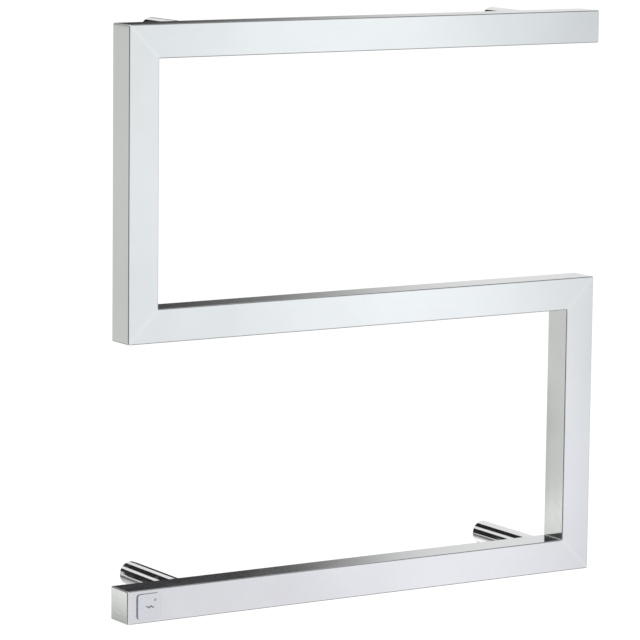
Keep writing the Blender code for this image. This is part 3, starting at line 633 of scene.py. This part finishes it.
def makeSpigot(name):
    # turned from bar, with a ring groove for the grub screw, and screwed to the wall through its bore
    look = spigotLook
    x, z = postMiddle(name)
    low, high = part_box(f"wall_spigot_{name}")
    body, length = high.z - low.z, high.y - low.y
    neck, groove = body - 2 * look["grooveDepth"], look["groove"]
    chamfer, supply = look["chamfer"], name == supplyPost
    bore = look["cableBore"] if supply else look["bore"]
    profile = [(body, 0), (body, groove[0]), (neck, groove[0]), (neck, groove[1]), (body, groove[1]),
               (body, length - chamfer), (body - 2 * chamfer, length)]
    if supply:
        profile.append((bore, length))
    else:
        profile += [(look["headBore"], length), (bore, length - look["headDepth"])]
    profile.append((bore, 0))
    spigot = turnedPiece(f"{name}_wall_spigot", profile, (x, 0, z), look["sides"], zinc)
    soften(spigot, look["round"], look["roundSteps"])
    if supply:
        beside = (bore + neck) / 4
        for side in (-1, 1):
            middle = (x + side * beside, z)
            carve(spigot, [roundCutter(f"side_hole_{side}", look["sideHole"], middle,
                                       low.y - past, high.y + past, look["sideHoleSides"])])
    finished(spigot, "rail", [f"wall_spigot_{name}"])


def makeGrubScrew(name):
    # a threaded rod whose outline narrows at every other ring, a cone at its tip, a hex socket
    look = dict(threadDepth=0.0002, turns=9, key=0.002, keyDepth=0.0014, sides=36)
    low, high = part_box(f"grub_screw_{name}")
    length, across = high.z - low.z, high.x - low.x
    count, sides = look["turns"] * 2, look["sides"]
    threads = across - 2 * look["threadDepth"] * (np.arange(count) % 2)
    outlines = [circleOutline(d, sides) for d in (across / 2, *threads)]
    heights = [0.0, *np.linspace(across / 4, length, count)]
    outlines += [hexOutline(look["key"], sides)] * 2
    heights += [length, length - look["keyDepth"]]
    top = ((low.x + high.x) / 2, (low.y + high.y) / 2, high.z)
    mesh = skinOver(f"{name}_grub_screw", facing(stack(outlines, heights), top, "down"))
    screw = newPiece(f"{name}_grub_screw", mesh, zinc)
    finished(screw, "rail", [f"grub_screw_{name}"])


for name in postNames:
    makePost(name)
    makeSpigot(name)
    makeGrubScrew(name)
print("posts made")


# The switch

switchLook = dict(pad=0.023, corner=0.003, plate=0.0011, edge=0.0005, edgeSteps=6, crown=0.00008,
                  steps=10, skirt=0.0182, skirtCorner=0.0019, skirtWall=0.0012, insideCorner=0.001,
                  plunger=0.0028, travel=0.0005, lensHole=0.0024, roundSides=32,
                  snapSize=(0.0012, 0.005), snapCorner=0.0002, snapSteps=3, snapThickness=0.0009,
                  snapReach=0.0006)


def makeSwitchFrame():
    # a thin flange on the bar's face and a sleeve through its wall
    look = dict(overhang=0.0007, wall=0.0008, corners=(0.003, 0.0027, 0.0022))
    low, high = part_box("switch_frame")
    flange, steps = high.x - low.x, switchLook["steps"]
    sleeve = flange - 2 * look["overhang"]
    sides = (flange, sleeve, sleeve - 2 * look["wall"])
    plate, tube, bore = (roundedSquare(*pair, steps) for pair in zip(sides, look["corners"]))
    front, back = tubeFront - low.y, tubeFront - high.y
    outlines = [plate, plate, tube, tube, bore, bore]
    rings = facing(stack(outlines, [front, gap, gap, back, back, front]), (padX, tubeFront, padZ), "out")
    piece = newPiece("switch_surround", skinOver("switch_surround", rings, through=True), framePlastic)
    finished(piece, "rail", ["switch_frame"])


def makePad():
    # The pad's plate and the skirt behind it. The plate's edge is a quarter circle, and its face is
    # crowned: it falls by the square of the way out from the middle.
    look = switchLook
    low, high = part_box("switch_button")
    front, back = tubeFront - low.y, tubeFront - high.y
    plateBack, steps, edge = front - look["plate"], look["steps"], look["edge"]
    skirt = roundedSquare(look["skirt"], look["skirtCorner"], steps)
    inside = roundedSquare(look["skirt"] - 2 * look["skirtWall"], look["insideCorner"], steps)
    outlines = [inside, inside, skirt, skirt, roundedSquare(look["pad"], look["corner"], steps)]
    heights = [plateBack, back, back, plateBack, plateBack]
    for turn in np.linspace(0, np.pi / 2, look["edgeSteps"]):
        inset = edge * (1 - np.cos(turn))
        outlines.append(roundedSquare(look["pad"] - 2 * inset, look["corner"] - inset, steps))
        heights.append(front - look["crown"] - edge * (1 - np.sin(turn)))
    flat = outlines[-1]
    for share in (0.8, 0.6, 0.4, 0.2):
        outlines.append(flat * share)
        heights.append(front - look["crown"] * share ** 2)
    rings = facing(stack(outlines, heights), (padX, tubeFront, padZ), "out")
    pad = newPiece("switch_pad", skinOver("switch_pad", rings), padPlastic)

    # the plunger that reaches the key, and the two hooks that hold the skirt in its sleeve
    inPlate = tubeFront - plateBack - look["plate"] / 2
    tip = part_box("tactile_switch")[0].y - look["travel"] - gap
    joined = [roundCutter("plunger", look["plunger"], (padX, padZ), inPlate, tip, look["roundSides"])]
    width, height = look["snapSize"]
    for side in (-1, 1):
        x = side * (look["skirt"] / 2 + look["snapReach"] - width / 2)
        outline = roundedOblong(width, height, look["snapCorner"], look["snapSteps"])
        hook = stack([outline, outline], [0, look["snapThickness"]])
        joined.append(skinOver(f"hook_{side}", facing(hook, (padX + x, high.y, padZ), "out")))
    carve(pad, joined, "UNION")
    lensLow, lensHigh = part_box("indicator_lens")
    middle = ((lensLow.x + lensHigh.x) / 2, (lensLow.z + lensHigh.z) / 2)
    carve(pad, [roundCutter("lens_hole", look["lensHole"], middle, low.y - look["plate"],
                            tubeFront - plateBack + gap, look["roundSides"])])
    finished(pad, "button", ["switch_button"], sharp=30)
    return front, plateBack, middle


def makeLens(plateBack, middle):
    # a clear rod with a collar behind the pad's plate, and a front domed as a quarter ellipse
    look = dict(diameter=0.0018, collar=0.0004, dome=0.0001, domeSteps=6, sides=32)
    low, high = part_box("indicator_lens")
    size, collarFront = look["diameter"], plateBack - gap
    profile = [(size, tubeFront - high.y), (size, collarFront - look["collar"]),
               (size + 2 * look["collar"], collarFront - look["collar"]),
               (size + 2 * look["collar"], collarFront), (size, collarFront)]
    dome = tubeFront - low.y - look["dome"]
    for turn in np.linspace(0, np.pi / 2, look["domeSteps"])[:-1]:
        profile.append((size * np.cos(turn), dome + look["dome"] * np.sin(turn)))
    outlines = [circleOutline(diameter, look["sides"]) for diameter, _ in profile]
    rings = stack(outlines, [height for _, height in profile])
    rings = facing(rings, (middle[0], tubeFront, middle[1]), "out")
    lens = newPiece("signal_lens", skinOver("signal_lens", rings), smokedLens)
    finished(lens, "button", ["indicator_lens"], sharp=50)


def makeMark(front):
    # a printed wave: its height is a sine of the way across, and its stroke narrows by the cube
    # of the way out to its ends
    look = dict(width=0.0084, swing=0.0007, waves=2, stroke=0.0010, taper=0.35, points=100,
                proud=0.00003, sunk=0.0002)
    across = np.linspace(-0.5, 0.5, look["points"])
    rate = 2 * np.pi * look["waves"]
    x, z = across * look["width"], look["swing"] * np.sin(across * rate)
    slope = look["swing"] * np.cos(across * rate) * rate / look["width"]
    half = look["stroke"] / 2 * (1 - (1 - look["taper"]) * (2 * np.abs(across)) ** 3)
    sideX, sideZ = -slope / np.hypot(1, slope), 1 / np.hypot(1, slope)
    rings = []
    for side, y in ((1, -look["proud"]), (-1, -look["proud"]), (-1, look["sunk"]), (1, look["sunk"])):
        edge = [padX + x + side * sideX * half, np.full_like(x, tubeFront - front + y),
                padZ + z + side * sideZ * half]
        rings.append(np.stack(edge, axis=-1))
    mark = newPiece("wave_mark", skinOver("wave_mark", np.array(rings).transpose(1, 0, 2)), markInk)
    shade(mark)
    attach(mark, "button")


def makeSpring():
    # a wire carried round a helix, whose end turns lie closer together
    look = dict(turns=4.5, wire=0.0004, sides=12, around=40, close=0.06)
    low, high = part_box("button_spring")
    radius = (high.x - low.x) / 2 - look["wire"] / 2
    reach = high.y - low.y - look["wire"]
    share = np.linspace(0, 1, int(look["turns"] * look["around"]))
    turn = share * 2 * np.pi * look["turns"]
    rise = share - look["close"] * np.sin(2 * np.pi * share)
    still = np.zeros_like(turn)
    outwards = np.stack([np.cos(turn), still, np.sin(turn)], axis=-1)
    middle = outwards * radius + np.stack([still, -rise * reach, still], axis=-1)
    middle += np.array([padX, high.y - look["wire"] / 2, padZ])
    ahead = np.gradient(middle, axis=0)
    ahead /= np.linalg.norm(ahead, axis=1)[:, None]
    beside = np.cross(ahead, outwards)
    around = np.arange(look["sides"]) * 2 * np.pi / look["sides"]
    rings = middle[:, None, :] + look["wire"] / 2 * (
        np.cos(around)[None, :, None] * outwards[:, None, :]
        + np.sin(around)[None, :, None] * beside[:, None, :])
    spring = newPiece("return_spring", skinOver("return_spring", rings), zinc)
    finished(spring, "rail", ["button_spring"], sharp=60)
    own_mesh(spring)


makeSwitchFrame()
padFront, padPlateBack, lensMiddle = makePad()
makeLens(padPlateBack, lensMiddle)
makeMark(padFront)
makeSpring()
print("switch made")


# The finishes of the frame's own pieces, most of which stay as they are

finishOf = {
    "plated_steel": zinc, "tinned_copper": tin, "black_rubber": rubber, "dark_plastic": darkPlastic,
    "board_green": boardGreen, "red_silicone": redSilicone, "grey_silicone": greySilicone,
    "white_plastic": whitePlastic, "brown_insulation": brownWire, "blue_insulation": blueWire,
    "chrome": chrome, "polished_stainless": steelAlongX, "pale_plastic": padPlastic,
    "lens_smoke": smokedLens,
}
slotOf = {row["node"]: row["material_slot"] for row in frame["record"]["subparts"]}
for node, piece in frame["nodes"].items():
    piece.data.materials.clear()
    piece.data.materials.append(finishOf[slotOf[node]])
print("frame's pieces finished")


# The camera, floor, lights and cards

cameraLook = dict(yaw=32.0, pitch=8.41, roll=0.66, lens=214.7, distance=3.459,
                  target=(-0.0405, -0.110, -0.0093), farEnd=100)


def makeCamera():
    # looks at the target from the distance given, turned by yaw to the right and by pitch down
    look = cameraLook
    yaw, pitch, roll = (np.radians(look[key]) for key in ("yaw", "pitch", "roll"))
    ahead = np.array([np.sin(yaw) * np.cos(pitch), np.cos(yaw) * np.cos(pitch), -np.sin(pitch)])
    right = np.array([np.cos(yaw), -np.sin(yaw), 0])
    up = np.cross(right, ahead)
    place = np.eye(4)
    place[:3, 0] = np.cos(roll) * right + np.sin(roll) * up
    place[:3, 1] = np.cos(roll) * up - np.sin(roll) * right
    place[:3, 2] = -ahead
    place[:3, 3] = np.array(look["target"]) - ahead * look["distance"]
    data = bpy.data.cameras.new("camera")
    data.lens = look["lens"]
    data.clip_end = look["farEnd"]
    camera = bpy.data.objects.new("camera", data)
    bpy.context.scene.collection.objects.link(camera)
    camera.matrix_world = Matrix(place.tolist())
    bpy.context.scene.camera = camera


def makeFloor():
    # one flat square below the rail
    look = dict(drop=0.9, size=60, tone=(0.93, 0.93, 0.93), roughness=0.8)
    half, z = look["size"] / 2, -look["drop"]
    mesh = bpy.data.meshes.new("floor")
    corners = [(-half, -half, z), (half, -half, z), (half, half, z), (-half, half, z)]
    mesh.from_pydata(corners, [], [(0, 1, 2, 3)])
    made = bpy.data.materials.new("pale floor")
    made.use_nodes = True
    shader = made.node_tree.nodes["Principled BSDF"]
    shader.inputs["Base Color"].default_value = (*look["tone"], 1)
    shader.inputs["Roughness"].default_value = look["roughness"]
    newPiece("floor", mesh, made)


darkCloth = (0.02, 0.02, 0.022)
greyCloth = (0.66, 0.665, 0.635)
lowCloth = (0.25, 0.25, 0.26)
warmTint = (1, 1.008, 0.962)
whole = {0: 1, 1: 1}


def rampOver(tree, value, stops):
    # stops are places from 0 to 1, each with a grey or a colour
    ramp = tree.nodes.new("ShaderNodeValToRGB")
    elements = ramp.color_ramp.elements
    ordered = sorted(stops.items())
    while len(elements) < len(ordered):
        elements.new(0.5)
    for element, (place, tone) in zip(elements, ordered):
        element.position = place
        element.color = (tone, tone, tone, 1) if np.isscalar(tone) else (*tone, 1)
    tree.links.new(value, ramp.inputs["Fac"])
    return ramp.outputs["Color"]


def softEdge(middle, width):
    # a card's cover falls from whole to none on a logistic curve about the middle
    places = middle + width * np.linspace(-4, 4, 11)
    return {place: 1 / (1 + np.exp((place - middle) / width)) for place in places}


def makeCard(name, corners, colour, across=whole, up=whole, rise=whole):
    # A flat card that only reflections see. Its corners go round it, from its lower left. Its cover
    # is a share across it times a share up it, and so is its colour, where that isn't one colour.
    mesh = bpy.data.meshes.new(name)
    mesh.from_pydata(corners, [], [(0, 1, 2, 3)])
    layer = mesh.uv_layers.new(name="UVMap")
    layer.data.foreach_set("uv", np.array([0, 0, 1, 0, 1, 1, 0, 1], dtype=np.float32))
    made = bpy.data.materials.new(name)
    made.use_nodes = True
    tree = made.node_tree
    tree.nodes.clear()
    place = tree.nodes.new("ShaderNodeTexCoord")
    split = tree.nodes.new("ShaderNodeSeparateXYZ")
    tree.links.new(place.outputs["UV"], split.inputs["Vector"])
    right, upwards = split.outputs["X"], split.outputs["Y"]
    cover = mixNumber(tree, "MULTIPLY", rampOver(tree, right, across), rampOver(tree, upwards, up))
    glow = tree.nodes.new("ShaderNodeEmission")
    if isinstance(colour, dict):
        graded = mixColour(tree, 1, rampOver(tree, right, colour), rampOver(tree, upwards, rise), "MULTIPLY")
        tree.links.new(graded, glow.inputs["Color"])
    else:
        glow.inputs["Color"].default_value = (*colour, 1)
    clear = tree.nodes.new("ShaderNodeBsdfTransparent")
    mix = tree.nodes.new("ShaderNodeMixShader")
    out = tree.nodes.new("ShaderNodeOutputMaterial")
    tree.links.new(cover, mix.inputs[0])
    tree.links.new(clear.outputs[0], mix.inputs[1])
    tree.links.new(glow.outputs[0], mix.inputs[2])
    tree.links.new(mix.outputs[0], out.inputs["Surface"])
    card = newPiece(name, mesh, made)
    card.visible_camera = False
    card.visible_diffuse = False
    card.visible_shadow = False
    card.visible_volume_scatter = False


def uprightCard(name, colour, x, y, z, **shares):
    # x and z are the card's two sides and its foot and top
    corners = [(x[0], y, z[0]), (x[1], y, z[0]), (x[1], y, z[1]), (x[0], y, z[1])]
    makeCard(name, corners, colour, **shares)


def levelCard(name, colour, x, y, z, **shares):
    # x and y are the card's two sides and its near and far edges
    corners = [(x[0], y[0], z), (x[1], y[0], z), (x[1], y[1], z), (x[0], y[1], z)]
    makeCard(name, corners, colour, **shares)


def makeFrontCard():
    # Faces the front of the rail from the right, and sits where the front faces look. Its top
    # leans to the left, so that the rail's upper bar sees more of its dull right side.
    look = dict(distance=2.5, half=1.3, low=-0.9, high=1.6, leanTop=-0.36, leanFoot=0.10)
    yaw = np.radians(cameraLook["yaw"])
    middle = np.array([np.sin(yaw), -np.cos(yaw)]) * look["distance"]
    side = np.array([np.cos(yaw), np.sin(yaw)])
    corners = []
    for place, lean, z in ((-1, "leanFoot", "low"), (1, "leanFoot", "low"),
                           (1, "leanTop", "high"), (-1, "leanTop", "high")):
        corners.append((*(middle + side * (place * look["half"] + look[lean])), look[z]))
    tones = {0.30: 0.90, 0.41: 0.945, 0.485: 1.09, 0.52: 1.09, 0.56: 1.025, 0.63: 0.80, 0.70: 0.68}
    rise = {0.05: (0.90, 0.89, 0.93), 0.13: (0.96, 0.985, 1.01), 0.30: (1.01, 1.045, 1.06),
            0.38: (0.97, 1.005, 1.02)}
    makeCard("front card", corners, tones, rise=rise)


def makeBackCards():
    # cards far behind, which the bars' tops, the posts and the uprights' sides look at
    uprightCard("dark band", darkCloth, x=(-6.0, 4.0), y=5.0, z=(-0.4, 0.97),
                across=softEdge(0.916, 0.0175), up={0: 0, 0.17: 1, 1: 1})
    uprightCard("upper dark band", darkCloth, x=(-6.0, 4.0), y=5.0, z=(0.97, 1.55),
                across=softEdge(0.930, 0.009))
    uprightCard("dark strip", darkCloth, x=(-1.95, 0.65), y=5.0, z=(2.4, 4.4))
    uprightCard("grey card", greyCloth, x=(-5.0, -1.2), y=3.6, z=(-0.9, 0.13), up={0: 1, 0.88: 1, 1: 0})


def makeMats():
    # cards just above the floor, and one overhead
    levelCard("grey mat", greyCloth, x=(-4.5, -0.6), y=(2.0, 3.6), z=-0.89)
    levelCard("graded mat", whole, x=(-1.2, 0.1), y=(0.9, 2.0), z=-0.88,
              rise={0: 0.8, 0.2: 0.45, 0.5: 0.16, 1: 0.06})
    # the end cap looks at this one, which darkens its foot
    levelCard("cap mat", {0.45: 0.98, 0.52: 0.93, 0.57: 0.87, 0.60: 0.62, 0.63: 0.32, 0.66: 0.22},
              x=(-2.0, -1.3), y=(2.0, 2.75), z=-0.885, rise={0: warmTint, 1: warmTint})
    levelCard("low mat", lowCloth, x=(0.1, 1.3), y=(-0.6, 0.7), z=-0.88)
    levelCard("overhead flag", darkCloth, x=(0.9, 3.0), y=(-1.5, 0.4), z=3.0)
    levelCard("left front mat", {0: 0.85, 1: 0.6}, x=(-4.5, -0.5), y=(-4.5, -0.6), z=-0.885,
              rise={0: 0.95, 1: 0.8})
    levelCard("right back mat", {0: 0.6, 1: 0.85}, x=(0.6, 4.5), y=(0.8, 4.5), z=-0.885,
              rise={0: 0.7, 1: 0.95})


def makeSideFlag():
    # the uprights' rounded front edges look at this one, and show a dark line
    look = dict(x=-2.8, back=1.4, front=-1.6, low=-0.9, high=1.4)
    corners = [(look["x"], look[y], look[z]) for y, z in
               (("back", "low"), ("front", "low"), ("front", "high"), ("back", "high"))]
    makeCard("side flag", corners, darkCloth)


def makePostCards():
    # small dark cards behind the lower posts, which only the posts' sides look at
    look = dict(left=0.2, half=0.034, y=0.25, low=-0.048, high=0.088)
    for name in ("lower_left", "lower_right"):
        x, z = postMiddle(name)
        middle = x - look["left"]
        uprightCard(f"{name} card", darkCloth, x=(middle - look["half"], middle + look["half"]),
                    y=look["y"], z=(z + look["low"], z + look["high"]))


def makeLight():
    # a pale room that looks white behind the rail, and a wide soft sun
    look = dict(room=(0.82, 0.82, 0.82), seenRoom=(1, 1, 1), sun=1.3, spread=40, turn=(35, -20, 0))
    world = bpy.data.worlds.new("studio")
    world.use_nodes = True
    tree = world.node_tree
    seen = tree.nodes.new("ShaderNodeLightPath")
    back = tree.nodes["Background"]
    colour = mixColour(tree, seen.outputs["Is Camera Ray"], look["room"], look["seenRoom"])
    tree.links.new(colour, back.inputs["Color"])
    bpy.context.scene.world = world
    lamp = bpy.data.lights.new("soft sun", "SUN")
    lamp.energy = look["sun"]
    lamp.angle = np.radians(look["spread"])
    sun = bpy.data.objects.new("soft sun", lamp)
    sun.rotation_euler = np.radians(look["turn"])
    bpy.context.scene.collection.objects.link(sun)
    bpy.context.scene.view_settings.view_transform = "Standard"


makeFloor()
makeBackCards()
makeMats()
makeSideFlag()
makeFrontCard()
makePostCards()
makeLight()
makeCamera()
print("stage made")
